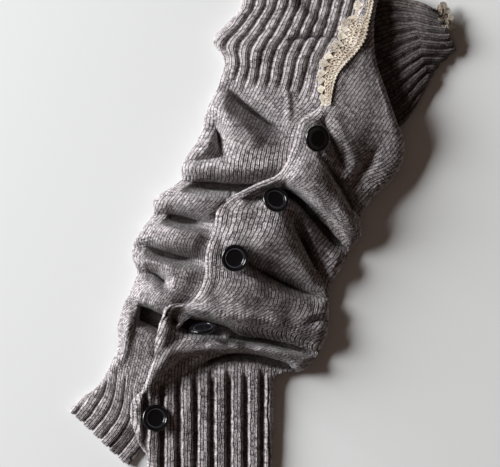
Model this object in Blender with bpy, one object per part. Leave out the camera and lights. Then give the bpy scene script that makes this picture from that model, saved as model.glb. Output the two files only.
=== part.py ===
"""A knitted cuff for a boot, laid scrunched on a table and seen from above.

The plan is drawn on a sheet 500 units wide and 467 high, x to the right and y
down. to_mm() below turns a plan point into millimetres: +X right, +Y up the sheet,
+Z towards the viewer, with the sheet's middle at the origin. Sizes stay in
millimetres until the meshes are made.
"""

import math

import bpy
import numpy as np
from mathutils import Matrix, Vector
from mathutils.bvhtree import BVHTree

UNIT = 0.7  # millimetres of one plan unit
MIDDLE_X, MIDDLE_Y = 250.0, 233.5
WALL = 2.2  # thickness of the knit
GAP = 0.5  # air between pieces
RIB_HEIGHT = 1.3
KEPT_HEIGHT = 0.40  # share of the height that the deepest crease leaves
LOWEST_CREASE = 6.5
BUMP_LENGTH, BUMP_REACH = 16.0, 24.0  # bumps of the outline, and how far in they are felt
LACE_WALL = 1.4
BUTTON_R, BUTTON_T = 9.5, 3.6
SHANK_R, SHANK_L = 2.6, 2.4

# Columns: outer x, y; inner x, y; bow of the row towards the next; roll radius, foot height,
# crown height. A fold has a row along its crease and one along its crown.
LEFT_ROWS = (
    (72, 410, 127, 463, 0, 2.7, 0.3, 6.5),
    (85, 398, 138, 450, 0, 2.7, 0.3, 6.8),
    (100, 386, 147, 432, 0, 2.8, 0.3, 8),
    (112, 364, 149, 402, 0, 4, 0.3, 11),
    (119, 345, 157, 375, 0, 6, 0.3, 16),
    (119, 324, 165, 350, 0, 7, 0.3, 20),
    (124, 307, 171, 333, 0, 7, 0.3, 24),
    (132, 290, 203, 303, 0, 8, 0.3, 27),
    (138, 271, 214, 288, 0, 8, 0.3, 27),
    (133, 257, 215, 274, 0, 9, 0.3, 28),
    (134, 245, 214, 259, 0, 9, 0.3, 28),
    (142, 231, 222, 241, 0, 9, 0.3, 29),
    (154, 214, 230, 221, 0, 8, 0.3, 28),
    (155, 200, 247, 200, 0, 9, 0.3, 29),
    (180, 182, 267, 189, 0, 8, 0.3, 28),
    (184, 163, 301, 168, 0, 8, 0.3, 27),
    (200, 137, 304, 146, 0, 8, 0.3, 26),
    (208, 110, 311, 125, 0, 7, 0.3, 24),
    (221, 82, 332, 106, 0, 5, 0.3, 20),
    (226, 60, 338, 76, 0, 5, 0.3, 17),
    (215, 41, 347, 52, 0, 5, 0.3, 15),
    (232, 20, 358, 28, 0, 3.5, 0.3, 12),
    (243, 5, 364, 5, 0, 3, 0.3, 10),
    (240, -22, 370, -16, 0, 2.7, 0.3, 8),
)
RIGHT_ROWS = (
    (268, 482, 158, 482, 0, 2.7, 0.3, 7),
    (270, 430, 139, 430, 0, 2.8, 0.3, 7.5),
    (271, 398, 134, 410, 0, 3.2, 0.3, 8.5),
    (272, 379, 140, 397, 13, 4, 0.3, 10),
    (286, 372, 145, 388, 25, 5, 0.3, 14),
    (303, 370, 152, 370, 19, 6, 0.3, 20),
    (312, 361, 158, 344, 9, 7, 0.3, 20),
    (319, 351, 165, 317, 5, 7, 0.3, 24),
    (326, 335, 172, 306, 2, 8, 0.3, 30),
    (328, 313, 194, 303, 0, 8, 0.3, 30),
    (328, 299, 208, 279, 0, 8, 0.3, 30),
    (328, 290, 209, 254, 20, 8, 0.3, 32),
    (333, 279, 217, 230, 18, 8, 0.3, 31),
    (344, 262, 223, 206, 16, 8, 0.3, 31),
    (349, 249, 256, 187, 13, 8, 0.3, 32),
    (360, 237, 280, 176, 8, 9, 0.3, 36),
    (361, 215, 297, 143, 3, 9, 0.3, 33),
    (373, 197, 301, 126, 0, 8, 0.3, 31),
    (393, 177, 310, 117, 0, 8, 0.3, 30),
    (403, 158, 320, 111, 0, 8, 0.3, 29),
    (403, 141, 328, 102, 0, 7, 6, 28),
    (396, 122, 334, 87, 0, 6, 12, 27),
    (384, 88, 343, 64, 0, 5, 13, 25),
    (375, 60, 352, 44, 0, 4, 13, 22),
    (373, 28, 359, 20, 0, 3, 12, 18),
    (380, -16, 366, -18, 0, 2.7, 6, 12),
)
FLARE_ROWS = (
    (393, 131, 362, 4, 0, 2.6, 0.3, 5.5),
    (407, 118, 384, -2, 0, 3, 0.3, 7),
    (423, 91, 405, 1, 0, 3.2, 0.3, 9),
    (441, 62, 426, 7, 0, 3, 0.3, 11),
    (455, 50, 436, 12, 0, 2.8, 0.3, 10),
)
# Height of the placket's edge along the sheet: y, millimetres.
PLACKET = ((-22, 11), (20, 18), (70, 24), (112, 27), (150, 30), (190, 29), (250, 30), (310, 28),
           (350, 24), (385, 17), (411, 11), (440, 8.5), (482, 7))
# Folds along a row. Columns: row; depth at its outer end, middle and inner end;
# widths before and after, mm; how far the cloth after it rolls back over it, mm.
LEFT_FOLDS = (
    (6, (0.8, 1, 0.9), 12, 9, 4),
    (8, (0.8, 0.75, 0), 9, 8, 0),
    (10, (0.6, 0.65, 0.3), 8, 8, 0),
    (12, (0.9, 0.7, 0.1), 9, 8, 0),
    (14, (0.9, 1, 0.9), 10, 10, 1.5),
    (20, (0, 0.2, 0.5), 7, 7, 0),
)
RIGHT_FOLDS = (
    (4, (1, 1, 0), 11, 8, 4),
    (7, (1, 1, 0.9), 9, 10, 4.5),
    (10, (0.9, 0.7, 0), 9, 9, 1.5),
    (12, (0.9, 0.8, 0), 9, 9, 0),
    (14, (0.9, 1, 0.8), 11, 11, 4),
    (16, (0.7, 0.7, 0), 9, 9, 0),
)
# Folds across the rows. Columns: first, middle and last point; depth there; width.
LEFT_DIPS = (
    ((182, 160), (205, 160), (229, 157), (0.3, 0.35, 0.1), 8),
    ((214, 134), (217, 147), (223, 160), (0.1, 0.35, 0.2), 9),
    ((222, 78), (250, 106), (279, 131), (0.2, 0.3, 0.1), 17),
    ((303, 4), (320, 16), (340, 24), (0.4, 0.6, 0.5), 12),
)
RIGHT_DIPS = (
    ((378, 150), (363, 168), (347, 187), (0.3, 0.6, 0.5), 13),
    ((333, 316), (324, 319), (314, 323), (0.4, 0.3, 0.2), 8),
    ((331, 126), (333, 146), (345, 178), (0.2, 0.6, 0.5), 15),
)
# Columns: x, y, the direction that it faces, the height that its seat is looked for from, mm.
BUTTONS = (
    (318, 139, (0.5, -0.05, 0.86), 40),
    (276, 199, (0.3, 0.4, 0.86), 40),
    (235, 258, (0.05, -0.05, 1.0), 40),
    (203, 326, (-0.1, 0.93, 0.35), 17),
    (156, 418, (0.2, 0.1, 0.97), 40),
)
# Columns: scalloped edge x, y; sewn edge x, y.
LACE_ROWS = (
    (326, 112, 331, 104),
    (322, 92, 335, 86),
    (319, 72, 345, 72),
    (333, 52, 357, 56),
    (338, 34, 364, 38),
    (348, 19, 368, 22),
    (359, 2, 372, 2),
    (362, -16, 377, -16),
)
HEM_LACE_ROWS = (
    (443, 1, 436.9, 11.6),
    (450, 10, 441.9, 21.6),
    (457, 24, 446.9, 31.6),
)
# The hidden layers: left x, y; right x, y; height at the sides and in the middle.
INNER_ROWS = (
    (82, 411, 256, 474, 2.3, 2.3),
    (103, 396, 256, 424, 2.3, 2.4),
    (126, 372, 252, 396, 2.3, 3),
    (140, 340, 282, 350, 3.0, 6),
    (150, 306, 308, 318, 4, 8),
    (154, 268, 318, 270, 4, 8),
    (160, 236, 336, 236, 4, 8),
    (186, 206, 342, 214, 4, 8),
    (204, 174, 372, 172, 4, 8),
    (222, 130, 384, 150, 4, 7),
    (232, 98, 372, 118, 4, 6),
    (238, 66, 368, 90, 3, 4.5),
    (232, 42, 366, 60, 3.2, 3.4),
    (248, 14, 369, 22, 3.2, 3.2),
    (246, -20, 375, -12, 3.2, 3.2),
)

KNIT = ("heather_knit", (0.23, 0.205, 0.195, 1), 0.95, 0)
LACE = ("cream_lace", (0.78, 0.7, 0.58, 1), 0.9, 0)
BLACK = ("black_gloss", (0.012, 0.012, 0.014, 1), 0.22, 0)


def clear_scene():
    """Removes whatever the start-up scene holds."""
    for obj in list(bpy.data.objects):
        bpy.data.objects.remove(obj, do_unlink=True)


def material(spec):
    """The Principled material of a (name, colour, roughness, metallic) row."""
    name, colour, rough, metal = spec
    found = bpy.data.materials.get(name)
    if found:
        return found
    made = bpy.data.materials.new(name)
    made.use_nodes = True
    shader = made.node_tree.nodes["Principled BSDF"]
    shader.inputs["Base Color"].default_value = colour
    shader.inputs["Roughness"].default_value = rough
    shader.inputs["Metallic"].default_value = metal
    made.diffuse_color = colour
    return made


def smooth(t):
    """A ramp from 0 to 1 that starts and ends level."""
    t = np.clip(t, 0.0, 1.0)
    return t * t * (3 - 2 * t)


def knots(points):
    """Each row's share of the way through rows of plan points."""
    p = np.asarray(points, float)[:, :4]
    t = np.concatenate([[0.0], np.cumsum(np.linalg.norm(np.diff(p, axis=0), axis=1))])
    return t / t[-1]


def spline(points, at):
    """A smooth curve through rows of numbers, read at shares of its length."""
    p = np.asarray(points, float)
    t = knots(points)
    h = np.diff(t)[:, None]
    slope = np.diff(p, axis=0) / h
    m = np.vstack([slope[:1], (slope[:-1] * h[1:] + slope[1:] * h[:-1]) / (h[1:] + h[:-1]), slope[-1:]])
    i = np.clip(np.searchsorted(t, at, side="right") - 1, 0, len(h) - 1)
    s = ((at - t[i]) / h[i, 0])[:, None]
    return ((2 * s**3 - 3 * s**2 + 1) * p[i] + (s**3 - 2 * s**2 + s) * h[i] * m[i]
            + (3 * s**2 - 2 * s**3) * p[i + 1] + (s**3 - s**2) * h[i] * m[i + 1])


def to_mm(points):
    """Plan points as millimetres from the sheet's middle, y up."""
    p = np.asarray(points, float)
    return np.stack([(p[..., 0] - MIDDLE_X) * UNIT, (MIDDLE_Y - p[..., 1]) * UNIT], axis=-1)


def placket_height(y_mm):
    """Height of the placket's edge at a place up the sheet."""
    table = np.array(PLACKET, float)
    up = (MIDDLE_Y - table[:, 0]) * UNIT
    return np.interp(y_mm, up[::-1], table[::-1, 1])


def dip(points, row):
    """What a fold across the rows leaves of the height at plan points."""
    first, middle, last, depth, wide = row
    line = to_mm(spline((first, middle, last), np.linspace(0, 1, 41)))
    flat = points.reshape(-1, 2)
    away = ((flat[:, None] - line[None]) ** 2).sum(-1)
    near = np.argmin(away, axis=1)
    t = np.sqrt(away[np.arange(len(flat)), near]) / (wide * UNIT)
    left = 1 - np.interp(near / 40, (0, 0.5, 1), depth) * (1 - smooth(t))
    return left.reshape(points.shape[:2])


def evened(line, along):
    """A line of plan points with its short bumps taken out."""
    weight = np.exp(-((along[:, None] - along[None]) ** 2) / (2 * BUMP_LENGTH**2)) * np.gradient(along)[None]
    return weight @ line / weight.sum(1)[:, None]


def fold(along, start, share, row):
    """(what a fold along a row leaves of the height, how far it draws the cloth back along)."""
    _, depth, before, after, lean = row
    off = along - start[None]
    t = np.clip(np.abs(off) / np.where(off > 0, after, before), 0, 1)
    deep = np.interp(share, (0, 0.5, 1), depth)
    bulge, trough = (1 - t) ** 1.8, 1 - smooth(t)
    cut = np.where((off > 0) | (lean == 0), bulge, trough)
    back = lean * np.sin(math.pi * t**0.6) * deep * (off > 0)
    return 1 - deep * cut, back


def strip(rows, folds, dips, across, at, placket, ribs=()):
    """Outer points of a strip from its silhouette (first column) to its inner edge.

    across is the columns on top of the roll, and at the rows' shares of the
    length; placket is (the inner edge's height above the placket's table, how
    wide it stays so), or None for a strip with no placket. Each of ribs is
    (first share, last share, columns in a rib).
    """
    row = spline(rows, at)
    outer, inner = to_mm(row[:, 0:2]), to_mm(row[:, 2:4])
    bow, roll, foot, crown = (row[:, k][:, None] for k in (4, 5, 6, 7))
    width = np.linalg.norm(inner - outer, axis=1)[:, None]
    turn = np.radians([-70.0, -25.0, 20.0, 55.0])[None]
    start = roll * (1 - math.cos(math.radians(80)))
    share = np.linspace(0, 1, across + 1)[None]
    s = np.hstack([roll * (1 - np.cos(turn)), start + (width - start) * share])
    centre = foot + roll * math.sin(math.radians(70))
    over = roll * np.sqrt(np.clip(1 - (1 - np.minimum(s / roll, 1)) ** 2, 0, 1))
    over[:, :2] *= -1
    z = centre + over + (crown - centre - roll) * smooth((s - 0.3 * roll) / (0.45 * width))
    z[:, :2] = (centre + over)[:, :2]
    inward = (inner - outer) / width
    place = outer[:, None] + inward[:, None] * s[..., None]
    onward = np.stack([inward[:, 1], -inward[:, 0]], axis=1)
    onward *= np.sign((onward * np.gradient(outer, axis=0)).sum())
    part = s / width
    middle = (outer + inner) / 2
    run = np.concatenate([[0.0], np.cumsum(np.linalg.norm(np.diff(middle, axis=0), axis=1))])
    for edge, away, near in ((outer, s, 1 - part), (inner, width - s, part)):
        bump = ((edge - evened(edge, run)) * smooth(np.minimum(run, run[-1] - run) / 40)[:, None])[:, None]
        place = place - bump * (near * smooth((away - 3) / BUMP_REACH))[..., None]
    place = place + onward[:, None] * (bow * UNIT * 4 * part * (1 - part))[..., None]
    guard = np.ones_like(z)
    if placket is not None:
        drop, level = placket
        edge = placket_height(place[..., 1]) + drop
        z += (edge - z) * smooth(1 - (width - s - level) / np.minimum(12.0, 0.5 * width))
        guard = smooth((width - s) / 9.0)
    step = np.linalg.norm(np.diff(place, axis=0), axis=2)
    along = np.vstack([np.zeros((1, z.shape[1])), np.cumsum(step, axis=0)])
    way = np.gradient(place, axis=0)
    way /= np.maximum(np.linalg.norm(way, axis=2), 1e-6)[..., None]
    keep, back = np.ones_like(z), np.zeros_like(z)
    for one in dips:
        keep *= 1 - (1 - dip(place, one)) * guard
    for one in folds:
        here = knots(rows)[one[0]]
        begin = np.array([np.interp(here, at, column) for column in along.T])
        left, drawn = fold(along, begin, part, one)
        keep *= 1 - (1 - left) * guard
        back += drawn * guard
    low = KEPT_HEIGHT + (1 - KEPT_HEIGHT) * keep
    low[:, :4] = low[:, 4:5]
    back[:, :4] *= np.array([0, 0.1, 0.4, 0.8])[None]
    place = place - way * back[..., None]
    z = np.maximum(z * low, np.minimum(z, LOWEST_CREASE))
    column = np.arange(z.shape[1] - 4)
    for first, last, every in ribs:
        on = smooth((at - first) / 0.03) * smooth((last - at) / 0.03)
        up = ((column % every) * 2 >= every) * (column > 0)
        z[:, 4:] += RIB_HEIGHT * on[:, None] * up[None]
    return np.dstack([place, np.maximum(z, 0.05)])


def shares(rows, counts):
    """Where the mesh's rows lie: counts gives how many follow each row of the table."""
    t = knots(rows)
    steps = [np.linspace(t[i], t[i + 1], counts[i], endpoint=False) for i in range(len(t) - 1)]
    return np.concatenate([*steps, [1.0]])


def tree_of(obj):
    """A search tree of an object's faces."""
    return BVHTree.FromPolygons([v.co for v in obj.data.vertices], [tuple(p.vertices) for p in obj.data.polygons])


def kept_under(grid, covers, gap):
    """The grid, lowered wherever it would come within gap of what lies over it."""
    found = grid.copy()
    for index in np.ndindex(grid.shape[:2]):
        x, y, z = (float(v) * 0.001 for v in grid[index])
        for tree in covers:
            hit = tree.ray_cast(Vector((x, y, -0.01)), Vector((0, 0, 1)))[0]
            if hit is not None:
                found[index][2] = min(found[index][2], max(hit.z * 1000 - gap, 1.2))
    return found


def kept_over(grid, below, gap):
    """The grid, raised wherever it would come within gap of what lies under it."""
    found = grid.copy()
    for index in np.ndindex(grid.shape[:2]):
        x, y, z = (float(v) * 0.001 for v in grid[index])
        for tree in below:
            hit = tree.ray_cast(Vector((x, y, 0.2)), Vector((0, 0, -1)))[0]
            if hit is not None:
                found[index][2] = max(found[index][2], hit.z * 1000 + gap)
    return found


def normals(grid):
    """Unit normals of a grid of points, facing up on the whole."""
    n = np.cross(np.gradient(grid, axis=1), np.gradient(grid, axis=0))
    n /= np.maximum(np.linalg.norm(n, axis=2), 1e-9)[..., None]
    return n if n[..., 2].mean() > 0 else -n


def inside(grid, wall):
    """The wall's inner points, evened out wherever they would cross each other."""
    inner = grid - normals(grid) * wall
    for _ in range(20):
        bad = np.zeros(grid.shape[:2], bool)
        for axis in (0, 1):
            outside, within = np.diff(grid, axis=axis), np.diff(inner, axis=axis)
            crossed = (outside * within).sum(-1) < 0.15 * (outside**2).sum(-1)
            lower, upper = [slice(None)] * 2, [slice(None)] * 2
            lower[axis], upper[axis] = slice(None, -1), slice(1, None)
            bad[tuple(lower)] |= crossed
            bad[tuple(upper)] |= crossed
        if not bad.any():
            break
        padded = np.pad(inner, ((1, 1), (1, 1), (0, 0)), mode="edge")
        mean = (padded[:-2, 1:-1] + padded[2:, 1:-1] + padded[1:-1, :-2] + padded[1:-1, 2:]) / 4
        inner[bad] = 0.5 * inner[bad] + 0.5 * mean[bad]
    inner[..., 2] = np.maximum(inner[..., 2], 0.05)
    return inner


def shell(name, grid, wall, spec, plain=None, covers=()):
    """A closed wall under a grid of points, settled clear of what lies over it.

    plain, where given, is the grid without its ribs.
    """
    plain = grid if plain is None else plain
    return settled(name, grid, inside(plain, wall), spec, covers)


def settled(name, top, bottom, spec, covers):
    """A closed solid, lowered wherever it still touches what lies over it."""
    top, bottom = top.copy(), bottom.copy()
    cols = top.shape[1]
    for _ in range(30):
        points, faces = faces_of(top, bottom)
        tree = BVHTree.FromPolygons([Vector(p) for p in points], faces)
        touched = {v for cover in covers for i, _ in tree.overlap(cover) for v in faces[i]}
        if not touched:
            break
        for v in touched:
            row, col = divmod(v % (top.shape[0] * cols), cols)
            for grid, least in ((top, 1.2), (bottom, 0.0)):
                if grid[row, col, 2] > least:
                    grid[row, col, 2] = max(grid[row, col, 2] - 0.4, least)
    return solid(name, *faces_of(top, bottom), spec)


def faces_of(top, bottom):
    """Points, in metres, and faces of the solid between two grids in millimetres."""
    rows, cols = top.shape[:2]
    count = rows * cols
    index = np.arange(count).reshape(rows, cols)
    a, b, c, d = index[:-1, :-1], index[:-1, 1:], index[1:, 1:], index[1:, :-1]
    upper = np.stack([a, b, c, d], axis=-1).reshape(-1, 4)
    faces = upper.tolist() + (upper[:, ::-1] + count).tolist()
    ring = [*index[0], *index[1:, -1], *index[-1, -2::-1], *index[-2:0:-1, 0]]
    for i, v in enumerate(ring):
        w = ring[(i + 1) % len(ring)]
        faces.append([int(w), int(v), int(v) + count, int(w) + count])
    points = np.vstack([top.reshape(-1, 3), bottom.reshape(-1, 3)]) * 0.001
    return points.tolist(), faces


def solid(name, points, faces, spec):
    """An object from points in metres, turned so that its faces look out."""
    mesh = bpy.data.meshes.new(name)
    mesh.from_pydata(points, [], faces)
    mesh.calc_loop_triangles()
    volume = 0.0
    for tri in mesh.loop_triangles:
        a, b, c = (mesh.vertices[i].co for i in tri.vertices)
        volume += a.dot(b.cross(c))
    if volume < 0:
        mesh.flip_normals()
    mesh.materials.append(material(spec))
    obj = bpy.data.objects.new(name, mesh)
    bpy.context.scene.collection.objects.link(obj)
    return obj


def button_mesh(segments=16):
    """Points and faces of a shank button about +Z, its shank's foot at z = 0."""
    r, t, base = BUTTON_R, BUTTON_T, SHANK_L
    profile = ((0, base + t - 1.1), (0.62 * r, base + t - 0.9), (0.74 * r, base + t), (0.93 * r, base + t - 0.2),
               (r, base + t - 1.2), (0.8 * r, base), (SHANK_R, base), (SHANK_R, 0), (0, 0))
    points, faces = [(0, 0, profile[0][1])], []
    for radius, z in profile[1:-1]:
        for k in range(segments):
            angle = 2 * math.pi * k / segments
            points.append((radius * math.cos(angle), radius * math.sin(angle), z))
    points.append((0, 0, 0))
    rings = len(profile) - 2
    for k in range(segments):
        after = (k + 1) % segments
        faces.append((0, 1 + k, 1 + after))
        for ring in range(rings - 1):
            low = 1 + ring * segments
            faces.append((low + k, low + segments + k, low + segments + after, low + after))
        low = 1 + (rings - 1) * segments
        faces.append((len(points) - 1, low + after, low + k))
    return points, faces


def add_buttons(trees):
    """Seats each button just clear of the cloth under it."""
    points, faces = button_mesh()
    for number, (x, y, facing, height) in enumerate(BUTTONS, 1):
        axis = Vector(facing).normalized()
        turn = axis.to_track_quat("Z", "Y").to_matrix()
        foot = Vector((*(to_mm((x, y)) * 0.001), 0.0)) - axis * (0.001 * (SHANK_L + BUTTON_T))
        under = [tree.ray_cast(Vector((foot.x, foot.y, height * 0.001)), Vector((0, 0, -1)))[0] for tree in trees]
        foot.z = max(hit.z for hit in under if hit is not None) - 0.0006
        placed = []
        for _ in range(160):
            placed = [turn @ (Vector(p) * 0.001) + foot for p in points]
            grown = [turn @ (Vector((p[0] * 1.04, p[1] * 1.04, p[2] * 1.05 - 0.3)) * 0.001) + foot for p in points]
            own = BVHTree.FromPolygons(grown, faces)
            if not any(own.overlap(tree) for tree in trees):
                break
            foot.z += 0.0004
        solid(f"button_{number}", [tuple(p) for p in placed], faces, BLACK)


def lace(name, rows, along, across, lift, below):
    """A thin scalloped strip, from its scalloped edge to its sewn one."""
    at = np.linspace(0, 1, along + 1)
    row = spline(rows, at)
    free, sewn = to_mm(row[:, :2]), to_mm(row[:, 2:4])
    share = np.linspace(0, 1, across + 1)[None, :, None]
    place = free[:, None] * (1 - share) + sewn[:, None] * share
    wave = 1.6 * np.abs(np.sin(math.pi * at * along / 3))[:, None, None] * (1 - share) ** 2
    outward = (free - sewn) / np.linalg.norm(free - sewn, axis=1)[:, None]
    place = place + outward[:, None] * wave
    z = np.broadcast_to(lift(place, share[..., 0]), place.shape[:2])
    return shell(name, kept_over(np.dstack([place, z]), below, LACE_WALL + 1.4), LACE_WALL, LACE)


def inner_layers(covers):
    """The back and what is gathered inside: one rounded solid on the table."""
    at = np.linspace(0, 1, 27)
    row = spline(INNER_ROWS, at)
    left, right = to_mm(row[:, :2]), to_mm(row[:, 2:4])
    share = np.linspace(0, 1, 13)[None]
    place = left[:, None] * (1 - share[..., None]) + right[:, None] * share[..., None]
    dome = 1 - np.abs(2 * share - 1) ** 2.2
    z = row[:, 4:5] + (row[:, 5:6] - row[:, 4:5]) * dome
    top = kept_under(np.dstack([place, z]), covers, 0.6 * GAP)
    return settled("inner_layers", top, np.dstack([place, np.zeros_like(z)]), KNIT, covers)


def main():
    clear_scene()
    at = shares(RIGHT_ROWS, [2, 1, 1] + [3] * 2 + [2] * 20)
    body = (RIGHT_ROWS, RIGHT_FOLDS, RIGHT_DIPS, 21, at, (0, 2))
    end = knots(RIGHT_ROWS)[3] + 0.03
    right = shell("front_right", strip(*body, ((-1, end, 3),)), WALL, KNIT, strip(*body))
    covers = [tree_of(right)]
    at = shares(LEFT_ROWS, [1] * 3 + [2] * 15 + [1, 2, 1, 1, 1])
    body = (LEFT_ROWS, LEFT_FOLDS, LEFT_DIPS, 16, at, (-4.6, 9))
    t = knots(LEFT_ROWS)
    ribs = ((-1, t[5], 3), (t[18], 2, 2))
    grids = [kept_under(strip(*body, one), covers, GAP + 0.5) for one in (ribs, ())]
    left = shell("front_left", grids[0], WALL, KNIT, grids[1], covers)
    covers.append(tree_of(left))
    body = (FLARE_ROWS, (), (), 14, np.linspace(0, 1, 11), None)
    grids = [kept_under(strip(*body, one), covers, GAP) for one in (((-1, 2, 2),), ())]
    flare = shell("band_flare", grids[0], WALL, KNIT, grids[1], covers)
    covers.append(tree_of(flare))
    inner_layers(covers)
    add_buttons(covers)
    lace("lace_front", LACE_ROWS, 30, 4,
         lambda place, share: placket_height(place[..., 1]) + 2.4 - 1.5 * (1 - share), covers)
    lace("lace_hem", HEM_LACE_ROWS, 9, 3, lambda place, share: 9.4 - 3.0 * (1 - share), covers)


main()
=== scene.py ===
"""Dresses a packed knitted boot cuff that lies scrunched on a table.

The plan is drawn on a sheet 500 units wide and 467 high, x to the right and y
down, one unit being 0.7 mm. Panels are worked out in millimetres on fine
grids and become meshes in metres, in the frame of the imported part: +X right,
+Y up the sheet, +Z towards the viewer.
"""

import logging
import math
from dataclasses import dataclass, field
from enum import Enum
from typing import Callable, Optional, Sequence

import bpy
import numpy as np
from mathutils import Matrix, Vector

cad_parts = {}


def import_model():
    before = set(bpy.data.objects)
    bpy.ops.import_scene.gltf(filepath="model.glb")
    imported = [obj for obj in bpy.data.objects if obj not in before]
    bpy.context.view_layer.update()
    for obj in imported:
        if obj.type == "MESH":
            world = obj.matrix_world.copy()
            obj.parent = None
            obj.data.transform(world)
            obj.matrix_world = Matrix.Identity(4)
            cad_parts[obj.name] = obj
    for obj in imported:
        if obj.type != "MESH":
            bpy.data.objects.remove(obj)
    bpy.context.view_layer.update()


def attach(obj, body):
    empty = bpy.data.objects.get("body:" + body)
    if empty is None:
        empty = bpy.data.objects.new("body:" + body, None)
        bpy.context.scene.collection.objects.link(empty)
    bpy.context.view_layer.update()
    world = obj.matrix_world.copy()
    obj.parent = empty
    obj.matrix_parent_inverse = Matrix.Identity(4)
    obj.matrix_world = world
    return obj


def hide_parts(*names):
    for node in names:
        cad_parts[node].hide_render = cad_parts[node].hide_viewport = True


log = logging.getLogger("boot_cuff")

UNIT = 0.7
MIDDLE = (250.0, 233.5)
KEPT_HEIGHT = 0.12
LOWEST_CREASE = 6.5
BUMP_REACH = 24.0
WALE = 2.5
COURSE = 2.2
STITCH_HIGH = 1.0


class Lie(Enum):
    """How a sheet of the cuff is held."""

    LAID = "laid"
    FOLDED = "folded"


@dataclass(frozen=True)
class Rib:
    """A ribbed band of a panel.

    first and last are shares of the panel's length, period the wales from one
    rib to the next, raised the share of them that stands up, height in mm.
    """

    first: float
    last: float
    period: float
    raised: float = 0.6
    height: float = 1.5
    phase: float = 0.0


@dataclass(frozen=True)
class Crease:
    """A crease along a line on the plan, listed from left to right.

    points: x, y and depth, the share of the height that it takes away.
    above and below: its widths on its two sides, in plan units.
    lean: how far, in mm, the cloth above rolls over it, or below if negative.
    floor: the share of the other side's width that stays level.
    """

    points: tuple[tuple[float, float, float], ...]
    above: float
    below: float
    lean: float = 0.0
    floor: float = 0.3


@dataclass(frozen=True)
class Ridge:
    """A raised line on the plan, or a sunken one.

    points: x, y and height in mm, below 0 if sunken; wide: half its width in plan units.
    """

    points: tuple[tuple[float, float, float], ...]
    wide: float


@dataclass(frozen=True)
class Run:
    """A stretch of a panel whose wales lie straight on the plan.

    x, y: a plan point on wale number start; angle: the wales' way, in degrees
    from the plan's x axis; first, last: shares of the panel's length between
    which the stretch fades, from full at first to none at last.
    """

    x: float
    y: float
    start: float
    angle: float
    first: float
    last: float
    pitch: float = 3.343

    def number(self, place: np.ndarray) -> np.ndarray:
        """Wale numbers at places in mm: the way across the run over its pitch."""
        x, y = place[..., 0] / UNIT + MIDDLE[0] - self.x, MIDDLE[1] - place[..., 1] / UNIT - self.y
        turn = math.radians(self.angle)
        return self.start + (x * math.sin(turn) + y * math.cos(turn)) / self.pitch

    def weight(self, share: np.ndarray) -> np.ndarray:
        """How much of the run there is at shares of the length, 0 to 1."""
        return 1 - ramp((share - self.first) / (self.last - self.first))


def ramp(t: np.ndarray) -> np.ndarray:
    """A ramp 3t²-2t³ from 0 to 1, level at both ends.

    Args:
        t: Any numbers; those below 0 or above 1 count as 0 or 1.

    Returns:
        The ramp at each number.
    """
    t = np.clip(t, 0.0, 1.0)
    return t * t * (3.0 - 2.0 * t)


def soft_max(a: np.ndarray, b: np.ndarray, width: float) -> np.ndarray:
    """The larger of two arrays, rounded off where they meet.

    Args:
        a: First array.
        b: Second array.
        width: How wide the rounding is, in the arrays' unit.

    Returns:
        (a + b + sqrt((a-b)² + width²)) / 2.
    """
    return 0.5 * (a + b + np.sqrt((a - b) ** 2 + width**2))


def knots(table: np.ndarray) -> np.ndarray:
    """Each row's share of the way through a table whose first four columns are plan points."""
    way = np.linalg.norm(np.diff(table[:, :4], axis=0), axis=1)
    t = np.concatenate([[0.0], np.cumsum(way)])
    return t / t[-1]


def flow(table: np.ndarray, at: np.ndarray) -> np.ndarray:
    """A smooth curve through a table's rows: cubic Hermite pieces with averaged slopes.

    Args:
        table: Rows of numbers.
        at: Shares of the way through them.

    Returns:
        One row of numbers for each share.
    """
    t = knots(table)
    h = np.diff(t)[:, None]
    slope = np.diff(table, axis=0) / h
    inner = (slope[:-1] * h[1:] + slope[1:] * h[:-1]) / (h[1:] + h[:-1])
    m = np.vstack([slope[:1], inner, slope[-1:]])
    i = np.clip(np.searchsorted(t, at, side="right") - 1, 0, len(h) - 1)
    s = ((at - t[i]) / h[i, 0])[:, None]
    return (
        (2 * s**3 - 3 * s**2 + 1) * table[i]
        + (s**3 - 2 * s**2 + s) * h[i] * m[i]
        + (3 * s**2 - 2 * s**3) * table[i + 1]
        + (s**3 - s**2) * h[i] * m[i + 1]
    )


def to_mm(points: np.ndarray) -> np.ndarray:
    """Plan points as millimetres from the sheet's middle, y up."""
    return np.stack([(points[..., 0] - MIDDLE[0]) * UNIT, (MIDDLE[1] - points[..., 1]) * UNIT], axis=-1)


def normals_of(grid: np.ndarray) -> np.ndarray:
    """Unit normals of a grid of points, the cross product of its two slopes, facing up on the whole."""
    n = np.cross(np.gradient(grid, axis=1), np.gradient(grid, axis=0))
    n /= np.maximum(np.linalg.norm(n, axis=2), 1e-9)[..., None]
    return n if n[..., 2].mean() > 0 else -n


def cell_areas(grid: np.ndarray) -> np.ndarray:
    """Areas of a grid's cells, half the cross product of each one's diagonals."""
    across = np.cross(grid[1:, 1:] - grid[:-1, :-1], grid[1:, :-1] - grid[:-1, 1:])
    return np.linalg.norm(across, axis=2) / 2


def blurred(values: np.ndarray, radius: float, axis: int) -> np.ndarray:
    """Values averaged along an axis with bell-shaped weights.

    Args:
        values: A grid of numbers.
        radius: Standard deviation of the bell, in grid steps.
        axis: 0 or 1.

    Returns:
        The evened grid, with its edges held.
    """
    reach = int(3 * radius) + 1
    bell = np.exp(-np.arange(-reach, reach + 1) ** 2 / (2 * radius**2))
    bell /= bell.sum()
    pad = [(0, 0)] * values.ndim
    pad[axis] = (reach, reach)
    wide = np.pad(values, pad, mode="edge")
    out = np.zeros_like(values)
    for k, weight in enumerate(bell):
        out += weight * np.take(wide, np.arange(k, k + values.shape[axis]), axis=axis)
    return out


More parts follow.
